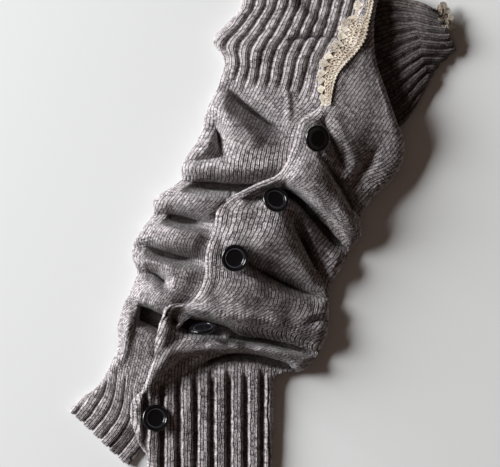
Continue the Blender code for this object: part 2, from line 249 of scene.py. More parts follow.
@dataclass
class Panel:
    """One knitted panel: a sheet from the silhouette (first column) to its inner edge.

    rows: outer x, y; inner x, y; bow; roll mm; foot mm; crown mm.
    placket: how far the inner edge is from the placket's height, and how wide it stays so.
    runs: stretches of straight wales; elsewhere they fan evenly between both edges.
    spread: the share of the width over which the cloth rises to its crown.
    held: how many mm beside the placket's edge creases fade out.
    cuts: each piece's mean width and length in m, unfolded, ribs included, stitches' relief not.
    """

    name: str
    rows: np.ndarray
    creases: Sequence[Crease]
    ridges: Sequence[Ridge]
    ribs: Sequence[Rib]
    placket: Optional[tuple[float, float]]
    wales: float
    widest_wale: float = 9.0
    bead: bool = False
    cell: tuple[float, float] = (0.42, 0.5)
    seed: int = 1
    pieces: int = 1
    bumps: float = 16.0
    runs: Sequence[Run] = ()
    spread: float = 0.45
    least_wale: float = 2.1
    rim: float = 1.2
    held: float = 9.0
    cuts: list[tuple[float, float]] = field(default_factory=list, init=False)

    PLACKET = np.array(
        [(-22, 11), (20, 18), (70, 24), (112, 27), (150, 30), (190, 29), (250, 30), (310, 28),
         (350, 24), (385, 17), (411, 11), (440, 8.5), (482, 7)], float)

    def placket_height(self, y: np.ndarray) -> np.ndarray:
        """Height of the placket's edge in mm, read from the table at y in mm."""
        up = (MIDDLE[1] - self.PLACKET[:, 0]) * UNIT
        return np.interp(y, up[::-1], self.PLACKET[::-1, 1])

    def beside(self, place: np.ndarray,
               points: tuple) -> tuple[np.ndarray, np.ndarray, np.ndarray, np.ndarray]:
        """Where plan points lie beside a line.

        Args:
            place: Plan points in mm.
            points: The line's x, y and a value, in plan units.

        Returns:
            The distance in plan units, whether the point is below the line,
            the unit way to the line, and the line's value there.
        """
        table = np.array(points, float)
        mids = np.linspace(0, 1, 12 * (len(table) - 1) + 1)
        line = flow(table, mids)
        spots = to_mm(line[:, :2])
        flat = place.reshape(-1, 2)
        near = np.zeros(len(flat), int)
        least = np.full(len(flat), np.inf)
        for k, spot in enumerate(spots):
            away = ((flat - spot) ** 2).sum(1)
            closer = away < least
            near[closer] = k
            least[closer] = away[closer]
        heading = np.gradient(spots, axis=0)[near]
        to_line = spots[near] - flat
        below = heading[:, 0] * to_line[:, 1] - heading[:, 1] * to_line[:, 0] > 0
        size = np.sqrt(least)
        to_line = to_line / np.maximum(size, 0.3)[:, None]
        shape = place.shape[:2]
        return (size.reshape(shape) / UNIT, below.reshape(shape), to_line.reshape(*shape, 2),
                line[near, 2].reshape(shape))

    def evened(self, line: np.ndarray, along: np.ndarray) -> np.ndarray:
        """A line of plan points with its short bumps averaged out by a bell as wide as the panel's bumps."""
        weight = np.exp(-((along[:, None] - along[None]) ** 2) / (2 * self.bumps**2))
        weight *= np.gradient(along)[None]
        return weight @ line / weight.sum(1)[:, None]

    def cut(self, place: np.ndarray, one: Crease) -> tuple[np.ndarray, np.ndarray]:
        """One crease's cut and lean.

        The height left is 1 - depth * (1-t)^2 on the side that leans, t being
        the distance over the width, and 1 - depth * (1 - ramp((t-f)/(1-f))) on
        the other, which is level for the floor f; with no lean both are 1 - depth * (1-t)^1.7;
        the leaning side moves by lean * sin(pi * t^0.6) towards the line.

        Args:
            place: Plan points in mm.
            one: The crease.

        Returns:
            The share of the height left, and the way in mm that each point moves.
        """
        away, below, way, depth = self.beside(place, one.points)
        t = np.clip(away / np.where(below, one.below, one.above), 0, 1)
        leaning = below if one.lean < 0 else ~below
        level = 1 - ramp((t - one.floor) / (1 - one.floor))
        left = 1 - depth * (np.where(leaning, (1 - t) ** 2.0, level) if one.lean else (1 - t) ** 1.7)
        move = abs(one.lean) * np.sin(math.pi * t**0.6) * depth * leaning
        return left, way * move[..., None]

    def sheet(self, at: np.ndarray, side: int, top: int) -> tuple[np.ndarray, np.ndarray, np.ndarray]:
        """The panel's smooth middle surface.

        Across, it rises round a quarter roll at the silhouette and then over a
        dome to the inner edge; folds and dips scale its height down.

        Args:
            at: Shares of the rows.
            side: Columns round the roll.
            top: Columns over the dome.

        Returns:
            The points in mm, each point's distance from the inner edge, and how far it is shut in a crease, which
            darkens the colour as painted shade.
        """
        row = flow(self.rows, at)
        outer, inner = to_mm(row[:, 0:2]), to_mm(row[:, 2:4])
        bow, roll, foot, crown = (row[:, k][:, None] for k in (4, 5, 6, 7))
        width = np.linalg.norm(inner - outer, axis=1)[:, None]
        turn = np.linspace(math.radians(-86), math.radians(76), side)[None]
        start = roll * (1 - math.cos(math.radians(80)))
        share = np.linspace(0, 1, top)[None]
        s = np.hstack([roll * (1 - np.cos(turn)), start + (width - start) * share])
        centre = foot + roll * math.sin(math.radians(70))
        over = roll * np.sqrt(np.clip(1 - (1 - np.minimum(s / roll, 1)) ** 2, 0, 1))
        under = np.concatenate([turn[0] < 0, np.zeros(top, bool)])
        over[:, under] *= -1
        z = centre + over + (crown - centre - roll) * ramp((s - 0.3 * roll) / (self.spread * width))
        z[:, under] = (centre + over)[:, under]
        inward = (inner - outer) / width
        place = outer[:, None] + inward[:, None] * s[..., None]
        onward = np.stack([inward[:, 1], -inward[:, 0]], axis=1)
        onward *= np.sign((onward * np.gradient(outer, axis=0)).sum())
        part = s / width
        middle = (outer + inner) / 2
        run = np.concatenate([[0.0], np.cumsum(np.linalg.norm(np.diff(middle, axis=0), axis=1))])
        ends = ramp(np.minimum(run, run[-1] - run) / 40)[:, None]
        for edge, away, near in ((outer, s, 1 - part), (inner, width - s, part)):
            bump = ((edge - self.evened(edge, run)) * ends)[:, None]
            place = place - bump * (near * ramp((away - 3) / BUMP_REACH))[..., None]
        place = place + onward[:, None] * (bow * UNIT * 4 * part * (1 - part))[..., None]
        guard = np.ones_like(z)
        if self.placket is not None:
            drop, level = self.placket
            edge = self.placket_height(place[..., 1]) + drop
            z += (edge - z) * ramp(1 - (width - s - level) / np.minimum(12.0, 0.5 * width))
            guard = ramp((width - s) / self.held)
        for one in self.ridges:
            away, _, _, high = self.beside(place, one.points)
            z += high * (1 - ramp(away / one.wide)) * np.minimum(guard, ramp(part / 0.2))
        keep, move = np.ones_like(z), np.zeros_like(place)
        for one in self.creases:
            left, moved = self.cut(place, one)
            keep *= 1 - (1 - left) * guard
            move += moved * guard[..., None]
        low = KEPT_HEIGHT + (1 - KEPT_HEIGHT) * keep
        low[:, :side] = 1 + (low[:, side:side + 1] - 1) * np.linspace(0, 1, side)[None] ** 0.7
        move[:, :side] *= ramp(np.linspace(-0.6, 1, side))[None, :, None]
        place = place + move
        z = soft_max(z * low, np.minimum(z, LOWEST_CREASE), 0.8)
        return np.dstack([place, np.maximum(z, 0.3)]), np.maximum(width - s, 0.0), ramp((0.5 - low) / 0.3)

    def even_shares(self) -> np.ndarray:
        """Shares of the rows that lie one cell apart along the cloth, measured over its folds."""
        at = np.linspace(0, 1, 1200)
        grid = self.sheet(at, 6, 24)[0]
        step = np.linalg.norm(np.diff(grid[:, 6:-3:3], axis=0), axis=2).mean(1)
        run = np.concatenate([[0.0], np.cumsum(step)])
        return np.interp(np.linspace(0, run[-1], int(run[-1] / self.cell[1]) + 1), run, at)

    def wobble(self, grid: np.ndarray) -> np.ndarray:
        """Slow unevenness of well-used cloth: a sum of eight sine waves over the plan, in mm."""
        rng = np.random.default_rng(self.seed)
        total = np.zeros(grid.shape[:2])
        for _ in range(8):
            angle, size = rng.uniform(0, math.tau), rng.uniform(14, 40)
            wave = (grid[..., 0] * math.cos(angle) + grid[..., 1] * math.sin(angle)) * math.tau / size
            total += np.sin(wave + rng.uniform(0, math.tau))
        return total * 0.16

    def relief(self, wale: np.ndarray, course: np.ndarray,
               share: np.ndarray) -> tuple[np.ndarray, np.ndarray, np.ndarray]:
        """Heights of the stitches and of the ribs over the sheet, in mm.

        A stockinette wale has two strands, humps 1-((|a|-0.23)/0.27)² either
        side of its middle, each beaded by a cosine that runs along a V. A rib
        lifts its knit wales and sinks the purl ones, whose beads lie level.

        Args:
            wale: Wale number at each point, with its fraction.
            course: Course number at each point.
            share: Share of the panel's length.

        Returns:
            The stitches' heights, the ribs' heights, and how far sunk between ribs each point is, which darkens the
            colour as painted shade.
        """
        a = np.abs(wale - np.floor(wale) - 0.5)
        hump = np.clip(1 - ((a - 0.23) / 0.27) ** 2, 0, 1)
        bead = 0.5 + 0.5 * np.cos(math.tau * (course + 1.9 * a))
        knit = STITCH_HIGH * hump * (0.72 + 0.28 * bead)
        purl = 0.45 * (0.5 + 0.5 * np.cos(math.tau * course)) * (0.6 + 0.4 * np.cos(math.tau * wale))
        total, ribbed, sunk = knit, np.zeros_like(knit), np.zeros_like(knit)
        for rib in self.ribs:
            on = ramp((share - rib.first) / 0.025 + 0.5) * ramp((rib.last - share) / 0.025 + 0.5)
            turn = (wale - rib.phase) / rib.period
            place = np.abs(turn - np.floor(turn) - 0.5) * 2
            edge = 0.9 / rib.period
            up = ramp((rib.raised - place) / (2 * edge) + 0.5)
            ribbed = ribbed + on * (up - 0.55) * rib.height
            total = total + on * (1 - up) * (purl - knit)
            # Painted shade: the purl gaps between ribs are marked to darken the colour.
            sunk = sunk + on * (1 - up) * min(1.0, rib.height / 3)
        return total, ribbed, sunk

    def strayed(self, wale: np.ndarray, course: np.ndarray) -> tuple[np.ndarray, np.ndarray]:
        """Wale and course numbers with the small sway of real stitches.

        Args:
            wale: Wale number at each point.
            course: Course number at each point.

        Returns:
            Both, each moved by a sum of seven sine waves of two to nine stitches.
        """
        rng = np.random.default_rng(self.seed + 100)
        moved = []
        for amount in (0.028, 0.06):
            total = np.zeros_like(wale)
            for _ in range(7):
                up, over, start = rng.uniform(2.2, 9.0), rng.uniform(2.2, 12.0), rng.uniform(0, math.tau)
                total += np.sin(math.tau * (course / up + rng.choice((-1, 1)) * wale / over) + start)
            moved.append(total * amount)
        return wale + moved[0], course + moved[1]

    def wale_numbers(self, over: np.ndarray, place: np.ndarray, share: np.ndarray) -> np.ndarray:
        """The wale number at each point.

        Args:
            over: Way from the silhouette over the cloth, mm.
            place: Each point's x and y, mm.
            share: Share of the panel's length.

        Returns:
            A grid of numbers that grow from the inner edge to the silhouette.
        """
        pitch = np.clip(blurred(over[:, -1:], 30, 0) / self.wales, 0, self.widest_wale)
        pitch = np.maximum(pitch, self.least_wale)
        wale = blurred(over[:, -1:] - over, 18, 0) / pitch
        for run in self.runs:
            weight = run.weight(share)
            wale = wale * (1 - weight) + run.number(place) * weight
        return wale

    def rimmed(self, grid: np.ndarray, radius: float, tuck: float) -> np.ndarray:
        """Turns the hems and the inner edge under, round a half circle and then inwards.

        Args:
            grid: Points in mm.
            radius: Radius of the half circle.
            tuck: How far the turned edge goes in.

        Returns:
            The grid with more rows and columns.
        """
        for axis, ends in ((0, (0, -1)), (1, (-1,))):
            for end in ends:
                up = normals_of(grid)
                first = np.take(grid, end, axis=axis)
                second = np.take(grid, 5 if end == 0 else -6, axis=axis)
                lift = np.take(up, end, axis=axis)
                out = first - second
                out /= np.maximum(np.linalg.norm(out, axis=1), 1e-9)[:, None]
                extra = []
                for angle in np.linspace(0, math.pi, 8)[1:]:
                    fall = lift * radius * (1 - math.cos(angle))
                    extra.append(first + out * radius * math.sin(angle) - fall)
                extra.append(first - out * tuck - lift * radius * 2)
                more = np.stack(extra, axis=axis)
                more[..., 2] = np.maximum(more[..., 2], 0.15)
                if end == 0:
                    grid = np.concatenate([np.flip(more, axis=axis), grid], axis=axis)
                else:
                    grid = np.concatenate([grid, more], axis=axis)
        return grid

    def build(self) -> list[bpy.types.Object]:
        """Makes the panel's meshes.

        Returns:
            One object for each of its pieces, from its lower end up.
        """
        at = self.even_shares()
        widths = np.linalg.norm(self.rows[:, :2] - self.rows[:, 2:4], axis=1) * UNIT
        top = int(np.percentile(widths, 70) / self.cell[0])
        side = max(24, int(1.7 * self.rows[:, 5].mean() * math.pi / 2 / self.cell[0] / 1.6))
        grid, inner, shut = self.sheet(at, side, top)
        grid[..., 2] = np.maximum(grid[..., 2] + self.wobble(grid) * ramp(grid[..., 2] / 8), 0.3)
        across = np.linalg.norm(np.diff(grid, axis=1), axis=2)
        over = np.concatenate([np.zeros((len(grid), 1)), np.cumsum(across, axis=1)], axis=1)
        wale = self.wale_numbers(over, grid[..., :2], at[:, None])
        bead = np.zeros_like(inner)
        if self.bead:
            bead = 0.9 * ramp(inner / 1.2) * (1 - ramp((inner - 3.0) / 5.0))
        grid = self.rimmed(grid, self.rim, 3.0)
        turned = math.pi * self.rim / 7 * np.arange(1, 9)
        step = (wale[:, -1] - wale[:, -9]) / (over[:, -1] - over[:, -9])
        wale = np.hstack([wale, wale[:, -1:] + turned[None] * step[:, None]])
        wale = np.pad(wale, ((8, 8), (0, 0)), mode="edge")
        course = np.broadcast_to(((np.arange(len(grid)) - 8) * self.cell[1] / COURSE)[:, None], wale.shape)
        wale, course = self.strayed(wale, course)
        share = np.broadcast_to(np.pad(at, 8, mode="edge")[:, None], wale.shape)
        stitches, ribbed, sunk = self.relief(wale, course, share)
        ribbed = ribbed + np.pad(bead, ((8, 8), (0, 8)), mode="edge")
        # Painted shade: crease floors are marked in the depth map too, which darkens their colour.
        sunk = np.maximum(sunk, 1.2 * np.pad(shut, ((8, 8), (0, 8)), mode="edge"))
        up = normals_of(grid)
        up = blurred(blurred(up, 1.5, 0), 1.5, 1)
        up /= np.maximum(np.linalg.norm(up, axis=2), 1e-9)[..., None]
        cloth = grid + up * ribbed[..., None]
        solid = cloth + up * stitches[..., None]
        solid[..., 2] = np.maximum(solid[..., 2], 0.12)
        uv = np.dstack([wale, course])
        made, plain = [], cell_areas(cloth)
        cuts = np.linspace(0, len(solid) - 1, self.pieces + 1).astype(int)
        for k, (low, high) in enumerate(zip(cuts[:-1], cuts[1:])):
            name = self.name if self.pieces == 1 else f"{self.name}_{k + 1}"
            made.append(grid_mesh(name, solid[low:high + 1], uv[low:high + 1], sunk[low:high + 1]))
            long = (high - low) * self.cell[1]
            self.cuts.append((plain[low:high].sum() / long * 0.001, long * 0.001))
        return made


def grid_mesh(name: str, grid: np.ndarray, uv: np.ndarray,
              sunk: Optional[np.ndarray] = None) -> bpy.types.Object:
    """A mesh of quads over a grid of points, facing up on the whole.

    Args:
        name: Name of the object.
        grid: Points in mm.
        uv: Wale and course numbers of the points.
        sunk: How far sunk between ribs or in a crease each point is, 0 to 1; it darkens the colour as painted shade.

    Returns:
        The object.
    """
    rows, cols = grid.shape[:2]
    index = np.arange(rows * cols).reshape(rows, cols)
    quads = np.stack([index[:-1, :-1], index[:-1, 1:], index[1:, 1:], index[1:, :-1]], axis=-1).reshape(-1, 4)
    n = np.cross(np.gradient(grid, axis=1), np.gradient(grid, axis=0))
    if n[..., 2].mean() < 0:
        quads = quads[:, ::-1]
    depths = None if sunk is None else sunk.ravel()
    return mesh_object(name, grid.reshape(-1, 3), quads, uv.reshape(-1, 2), depths)


def mesh_object(name: str, points: np.ndarray, faces: np.ndarray, uv: np.ndarray,
                sunk: Optional[np.ndarray] = None) -> bpy.types.Object:
    """An object from points in mm and faces that all have as many corners.

    Args:
        name: Name of the object.
        points: Points in mm.
        faces: One row of point numbers for each face.
        uv: Map coordinates of the points.
        sunk: The depth of each point, kept as the first coordinate of a second map, which darkens the colour as
            painted shade.

    Returns:
        The object, smooth, at the origin.
    """
    mesh = bpy.data.meshes.new(name)
    count, sides = faces.shape
    mesh.vertices.add(len(points))
    mesh.vertices.foreach_set("co", (points * 0.001).astype(np.float32).ravel())
    mesh.loops.add(count * sides)
    mesh.loops.foreach_set("vertex_index", faces.astype(np.int32).ravel())
    mesh.polygons.add(count)
    mesh.polygons.foreach_set("loop_start", np.arange(0, count * sides, sides, dtype=np.int32))
    mesh.polygons.foreach_set("loop_total", np.full(count, sides, dtype=np.int32))
    mesh.polygons.foreach_set("use_smooth", np.ones(count, bool))
    mesh.update(calc_edges=True)
    deep = np.zeros(len(points)) if sunk is None else sunk
    for label, flat in (("stitches", uv), ("depth", np.column_stack([deep, deep * 0]))):
        mesh.uv_layers.new(name=label).data.foreach_set("uv", flat[faces.ravel()].astype(np.float32).ravel())
    mesh.validate()
    obj = bpy.data.objects.new(name, mesh)
    bpy.context.scene.collection.objects.link(obj)
    return obj


def group(name: str, inputs: dict[str, tuple[str, float]], outputs: dict[str, str]) -> bpy.types.NodeTree:
    """An empty shader node group with named sockets.

    Args:
        name: Its name.
        inputs: Socket name to its kind and default.
        outputs: Socket name to its kind.

    Returns:
        The group's tree, with its Group Input and Group Output nodes.
    """
    tree = bpy.data.node_groups.new(name, "ShaderNodeTree")
    for label, (kind, value) in inputs.items():
        socket = tree.interface.new_socket(label, in_out="INPUT", socket_type=kind)
        socket.default_value = value
    for label, kind in outputs.items():
        tree.interface.new_socket(label, in_out="OUTPUT", socket_type=kind)
    tree.nodes.new("NodeGroupInput").name = "in"
    tree.nodes.new("NodeGroupOutput").name = "out"
    return tree


class Wiring:
    """Short names for making and joining the nodes of one tree."""

    def __init__(self, tree: bpy.types.NodeTree) -> None:
        """Keeps the tree."""
        self.tree = tree

    def add(self, kind: str, **values: object) -> bpy.types.Node:
        """Adds a node and sets its options.

        Args:
            kind: The node's type, without the ShaderNode in front.
            **values: Options of the node.

        Returns:
            The node.
        """
        node = self.tree.nodes.new("ShaderNode" + kind)
        for key, value in values.items():
            setattr(node, key, value)
        return node

    def join(self, start: bpy.types.NodeSocket, end: bpy.types.NodeSocket) -> None:
        """Joins two sockets."""
        self.tree.links.new(start, end)

    def noise(self, where: bpy.types.NodeSocket, scale: float, detail: float,
              rough: float = 0.5) -> bpy.types.NodeSocket:
        """A noise texture's strength.

        Args:
            where: Coordinates.
            scale: Its scale.
            detail: Its detail.
            rough: Its roughness.

        Returns:
            The socket of its strength, 0 to 1.
        """
        node = self.add("TexNoise")
        node.inputs["Scale"].default_value = scale
        node.inputs["Detail"].default_value = detail
        node.inputs["Roughness"].default_value = rough
        self.join(where, node.inputs["Vector"])
        return node.outputs["Fac"]

    def math(self, what: str, a: object, b: object = 0.0) -> bpy.types.NodeSocket:
        """One sum.

        Args:
            what: The operation.
            a: A socket or a number.
            b: A socket or a number.

        Returns:
            The result's socket.
        """
        node = self.add("Math", operation=what)
        for socket, value in zip(node.inputs, (a, b)):
            if isinstance(value, bpy.types.NodeSocket):
                self.join(value, socket)
            else:
                socket.default_value = value
        return node.outputs[0]


def marl_group() -> bpy.types.NodeTree:
    """The group that every yarn shares: spun fibres of mixed shades.

    Its Shade runs from 0 to 1 with the mix of dark and light fibres, by a fine
    and a coarse noise and one random number for each stitch; its Fuzz is the
    height of loose fibres; its third output is painted shade, up to 1 between
    wales, between the beads of a V and between its legs, by the fractions of the
    wale and course numbers, and by the Depth map between ribs and in crease floors.

    Returns:
        The group, made once.
    """
    found = bpy.data.node_groups.get("marl")
    if found:
        return found
    tree = group("marl", {"Place": ("NodeSocketVector", (0.0, 0.0, 0.0)),
                          "Stitch": ("NodeSocketVector", (0.0, 0.0, 0.0)),
                          "Depth": ("NodeSocketVector", (0.0, 0.0, 0.0)),
                          "Fibre": ("NodeSocketFloat", 900.0), "Patch": ("NodeSocketFloat", 0.5)},
                 {"Shade": "NodeSocketFloat", "Fuzz": "NodeSocketFloat", "Painted Shade": "NodeSocketFloat"})
    w = Wiring(tree)
    come, go = tree.nodes["in"], tree.nodes["out"]
    fine = w.add("TexNoise")
    fine.inputs["Detail"].default_value = 3.0
    fine.inputs["Roughness"].default_value = 0.65
    w.join(come.outputs["Place"], fine.inputs["Vector"])
    w.join(come.outputs["Fibre"], fine.inputs["Scale"])
    cloud = w.noise(come.outputs["Place"], 90.0, 2.0)
    floor = w.add("VectorMath", operation="FLOOR")
    w.join(come.outputs["Stitch"], floor.inputs[0])
    white = w.add("TexWhiteNoise", noise_dimensions="2D")
    w.join(floor.outputs[0], white.inputs["Vector"])
    grain = w.math("MULTIPLY", w.math("SUBTRACT", fine.outputs["Fac"], 0.5), 2.6)
    lump = w.math("MULTIPLY", w.math("SUBTRACT", cloud, 0.5), come.outputs["Patch"])
    each = w.math("MULTIPLY", w.math("SUBTRACT", white.outputs["Value"], 0.5), 0.5)
    total = w.math("ADD", w.math("ADD", grain, lump), w.math("ADD", each, 0.5))
    w.join(total, go.inputs["Shade"])
    w.join(fine.outputs["Fac"], go.inputs["Fuzz"])
    parts = w.add("SeparateXYZ")
    w.join(come.outputs["Stitch"], parts.inputs[0])
    off = w.math("ABSOLUTE", w.math("SUBTRACT", w.math("FRACT", parts.outputs["X"]), 0.5))
    run = w.math("ADD", parts.outputs["Y"], w.math("MULTIPLY", off, 1.9))
    bead = w.math("MULTIPLY", w.math("SUBTRACT", 1.0, w.math("COSINE", w.math("MULTIPLY", run, math.tau))),
                  0.5)
    # Painted shade: darker between wales (seam), between a V's beads (gap), between a wale's two legs (spine), and
    # where the Depth map is raised (sunk).
    gap = w.math("MULTIPLY", w.math("POWER", bead, 3.0), 0.22)
    seam = w.math("MAXIMUM", w.math("MULTIPLY", w.math("SUBTRACT", off, 0.27), 6.0), 0.0)
    seam = w.math("MULTIPLY", seam, w.math("ADD", w.math("MULTIPLY", bead, 0.5), 0.6))
    spine = w.math("MAXIMUM", w.math("SUBTRACT", 0.3, w.math("MULTIPLY", off, 5.0)), 0.0)
    deep = w.add("SeparateXYZ")
    w.join(come.outputs["Depth"], deep.inputs[0])
    sunk = w.math("MULTIPLY", deep.outputs["X"], 0.8)
    most = w.math("MAXIMUM", w.math("MAXIMUM", seam, gap), w.math("MAXIMUM", spine, sunk))
    w.join(w.math("MINIMUM", most, 1.0), go.inputs["Painted Shade"])
    return tree


@dataclass(frozen=True)
class Yarn:
    """A finish of spun yarn, between a dark and a light colour."""

    name: str
    dark: tuple[float, float, float]
    light: tuple[float, float, float]
    fibre: float = 900.0
    patch: float = 0.5
    sheen: float = 0.35
    bump: float = 0.0004
    # The last colour is painted shade, multiplied in at grooves, between ribs and in crease floors.
    painted_shade: tuple[float, float, float] = (0.22, 0.20, 0.20)

    def material(self) -> bpy.types.Material:
        """The finish's material, made once: the marl's Shade mixes the two colours, its painted shade output
        multiplies in the yarn's painted shade colour, and its Fuzz is a bump.
        """
        found = bpy.data.materials.get(self.name)
        if found:
            return found
        made = bpy.data.materials.new(self.name)
        made.use_nodes = True
        tree = made.node_tree
        w = Wiring(tree)
        shader = tree.nodes["Principled BSDF"]
        where = w.add("TexCoord")
        stitch = w.add("UVMap", uv_map="stitches")
        marl = w.add("Group", node_tree=marl_group())
        marl.inputs["Fibre"].default_value = self.fibre
        marl.inputs["Patch"].default_value = self.patch
        w.join(where.outputs["Object"], marl.inputs["Place"])
        w.join(stitch.outputs["UV"], marl.inputs["Stitch"])
        w.join(w.add("UVMap", uv_map="depth").outputs["UV"], marl.inputs["Depth"])
        blend = w.add("ValToRGB")
        blend.color_ramp.elements[0].position = 0.12
        blend.color_ramp.elements[0].color = (*self.dark, 1)
        blend.color_ramp.elements[1].position = 0.88
        blend.color_ramp.elements[1].color = (*self.light, 1)
        w.join(marl.outputs["Shade"], blend.inputs["Fac"])
        # Painted shade: the colour is multiplied darker where the marl's painted shade output is high.
        deep = w.add("Mix", data_type="RGBA", blend_type="MULTIPLY")
        next(i for i in deep.inputs if i.name == "B" and i.type == "RGBA").default_value = (*self.painted_shade, 1)
        w.join(marl.outputs["Painted Shade"], deep.inputs["Factor"])
        w.join(blend.outputs["Color"], next(i for i in deep.inputs if i.name == "A" and i.type == "RGBA"))
        w.join(next(o for o in deep.outputs if o.type == "RGBA"), shader.inputs["Base Color"])
        bump = w.add("Bump")
        bump.inputs["Distance"].default_value = self.bump
        bump.inputs["Strength"].default_value = 0.6
        w.join(marl.outputs["Fuzz"], bump.inputs["Height"])
        w.join(bump.outputs["Normal"], shader.inputs["Normal"])
        shader.inputs["Roughness"].default_value = 0.92
        shader.inputs["Sheen Weight"].default_value = self.sheen
        shader.inputs["Sheen Roughness"].default_value = 0.5
        shader.inputs["Specular IOR Level"].default_value = 0.2
        return made


@dataclass(frozen=True)
class Resin:
    """A polished resin finish with faint scuffs and a painted highlight ring."""

    name: str
    colour: tuple[float, float, float]
    rough: float
    # How many times lighter the painted highlight ring is, where light catches the moulded ridge.
    ring_highlight_gain: float = 22.0

    def material(self) -> bpy.types.Material:
        """The finish's material, made once: a painted highlight ring lighter on the moulded ridge, the roughness
        varied by noise.
        """
        found = bpy.data.materials.get(self.name)
        if found:
            return found
        made = bpy.data.materials.new(self.name)
        made.use_nodes = True
        w = Wiring(made.node_tree)
        shader = made.node_tree.nodes["Principled BSDF"]
        where = w.add("TexCoord")
        scuff = w.noise(where.outputs["Object"], 400.0, 4.0)
        rough = w.math("ADD", w.math("MULTIPLY", scuff, 0.12), self.rough)
        w.join(rough, shader.inputs["Roughness"])
        turned = w.add("UVMap", uv_map="turned")
        parts = w.add("SeparateXYZ")
        w.join(turned.outputs["UV"], parts.inputs[0])
        # Painted highlight: the colour is lighter on a ring from 0.63 to 0.74 of the radius.
        painted_highlight_ramp = w.add("ValToRGB")
        stops = painted_highlight_ramp.color_ramp.elements
        stops[0].position, stops[1].position = 0.63, 0.74
        stops[0].color = stops[1].color = (*self.colour, 1)
        stops.new(0.685).color = (*(c * self.ring_highlight_gain for c in self.colour), 1)
        w.join(parts.outputs["X"], painted_highlight_ramp.inputs["Fac"])
        w.join(painted_highlight_ramp.outputs["Color"], shader.inputs["Base Color"])
        shader.inputs["Specular IOR Level"].default_value = 0.5
        return made


@dataclass(frozen=True)
class Tabletop:
    """The pale table under the cuff."""

    name: str = "pale_table"
    colour: tuple[float, float, float] = (0.80, 0.795, 0.785)

    def material(self) -> bpy.types.Material:
        """A plain matt material."""
        made = bpy.data.materials.new(self.name)
        made.use_nodes = True
        shader = made.node_tree.nodes["Principled BSDF"]
        shader.inputs["Base Color"].default_value = (*self.colour, 1)
        shader.inputs["Roughness"].default_value = 0.6
        return made


# Each yarn's last colour is its painted shade for grooves, rib gaps and crease floors.
KNIT = Yarn("heather_wool", (0.12, 0.10, 0.105), (0.67, 0.61, 0.615), patch=0.2, painted_shade=(0.07, 0.05, 0.05))
# A darker copy of the knit: painted shade for the band's flare, which lies in the flap's shadow.
SHADED_KNIT = Yarn("heather_wool_painted_shade", (0.05, 0.04, 0.04), (0.22, 0.185, 0.175), patch=0.2,
              painted_shade=(0.13, 0.10, 0.10))
THREAD = Yarn("cream_cotton", (0.40, 0.32, 0.24), (0.80, 0.73, 0.62), fibre=1500.0, patch=1.6, sheen=0.1,
              bump=0.0002, painted_shade=(0.9, 0.9, 0.9))
GROUND = Yarn("tan_cotton", (0.15, 0.095, 0.06), (0.55, 0.41, 0.29), fibre=1300.0, patch=1.6, sheen=0.1,
              bump=0.0003, painted_shade=(0.8, 0.8, 0.8))
BLACK = Resin("black_resin", (0.004, 0.004, 0.005), 0.12)

LEFT_ROWS = np.array([
    (72, 410, 127, 463, 0, 2.7, 0.3, 6.5),
    (85, 398, 138, 450, 0, 2.7, 0.3, 6.8),
    (100, 386, 147, 432, 0, 2.8, 0.3, 8),
    (112, 364, 149, 402, 0, 4, 0.3, 11),
    (119, 345, 157, 375, 0, 8, 0.3, 17),
    (119, 324, 165, 350, 0, 9.5, 0.3, 21),
    (124, 307, 171, 333, 0, 9.5, 0.3, 25),
    (132, 290, 203, 303, 0, 8, 0.3, 27),
    (138, 271, 214, 288, 0, 8, 0.3, 27),
    (133, 257, 215, 274, 0, 9, 0.3, 28),
    (134, 245, 214, 259, 0, 9, 0.3, 28),
    (142, 231, 222, 241, 0, 9, 0.3, 29),
    (154, 214, 230, 221, 0, 10, 0.3, 28),
    (155, 200, 247, 200, 0, 9, 0.3, 29),
    (180, 182, 267, 189, 0, 10, 0.3, 27),
    (184, 163, 301, 168, 0, 10, 0.3, 26),
    (200, 137, 304, 146, 0, 10, 0.3, 24),
    (208, 110, 311, 125, 0, 9.5, 0.3, 22),
    (221, 82, 332, 106, 0, 8, 0.3, 19),
    (226, 60, 338, 76, 0, 7, 0.3, 16),
    (215, 41, 347, 52, 0, 6, 0.3, 14),
    (232, 20, 358, 28, 0, 3.5, 0.3, 12),
    (243, 5, 364, 5, 0, 3, 0.3, 10),
    (240, -22, 370, -16, 0, 2.7, 0.3, 8),
], float)

RIGHT_ROWS = np.array([
    (268, 482, 158, 482, 0, 2.7, 0.3, 7),
    (270, 430, 139, 430, 0, 2.8, 0.3, 7.5),
    (271, 398, 134, 410, 0, 3.2, 0.3, 8.5),
    (272, 379, 140, 397, 13, 4, 0.3, 10),
    (286, 372, 145, 388, 25, 5, 0.3, 14),
    (303, 370, 152, 370, 19, 6, 0.3, 20),
    (312, 361, 158, 344, 9, 7, 0.3, 20),
    (319, 351, 165, 317, 5, 7, 0.3, 24),
    (326, 335, 172, 306, 2, 8, 0.3, 30),
    (328, 313, 194, 303, 0, 8, 0.3, 30),
    (328, 299, 208, 279, 0, 8, 0.3, 30),
    (328, 290, 209, 254, 20, 8, 0.3, 32),
    (333, 279, 217, 230, 18, 8, 0.3, 31),
    (344, 262, 223, 206, 16, 8, 0.3, 31),
    (349, 249, 256, 187, 13, 8, 0.3, 32),
    (360, 237, 280, 176, 8, 9, 0.3, 36),
    (361, 215, 297, 143, 3, 9, 0.3, 33),
    (373, 197, 301, 126, 0, 8, 0.3, 31),
    (393, 177, 310, 117, 0, 8, 0.3, 30),
    (403, 158, 320, 111, 0, 8, 0.3, 29),
    (403, 141, 328, 102, 0, 7, 6, 28),
    (396, 122, 334, 87, 0, 6, 12, 27),
    (384, 88, 343, 64, 0, 5, 13, 25),
    (375, 60, 352, 44, 0, 4, 13, 22),
    (373, 28, 359, 20, 0, 3, 12, 18),
    (380, -16, 366, -18, 0, 2.7, 6, 12),
], float)

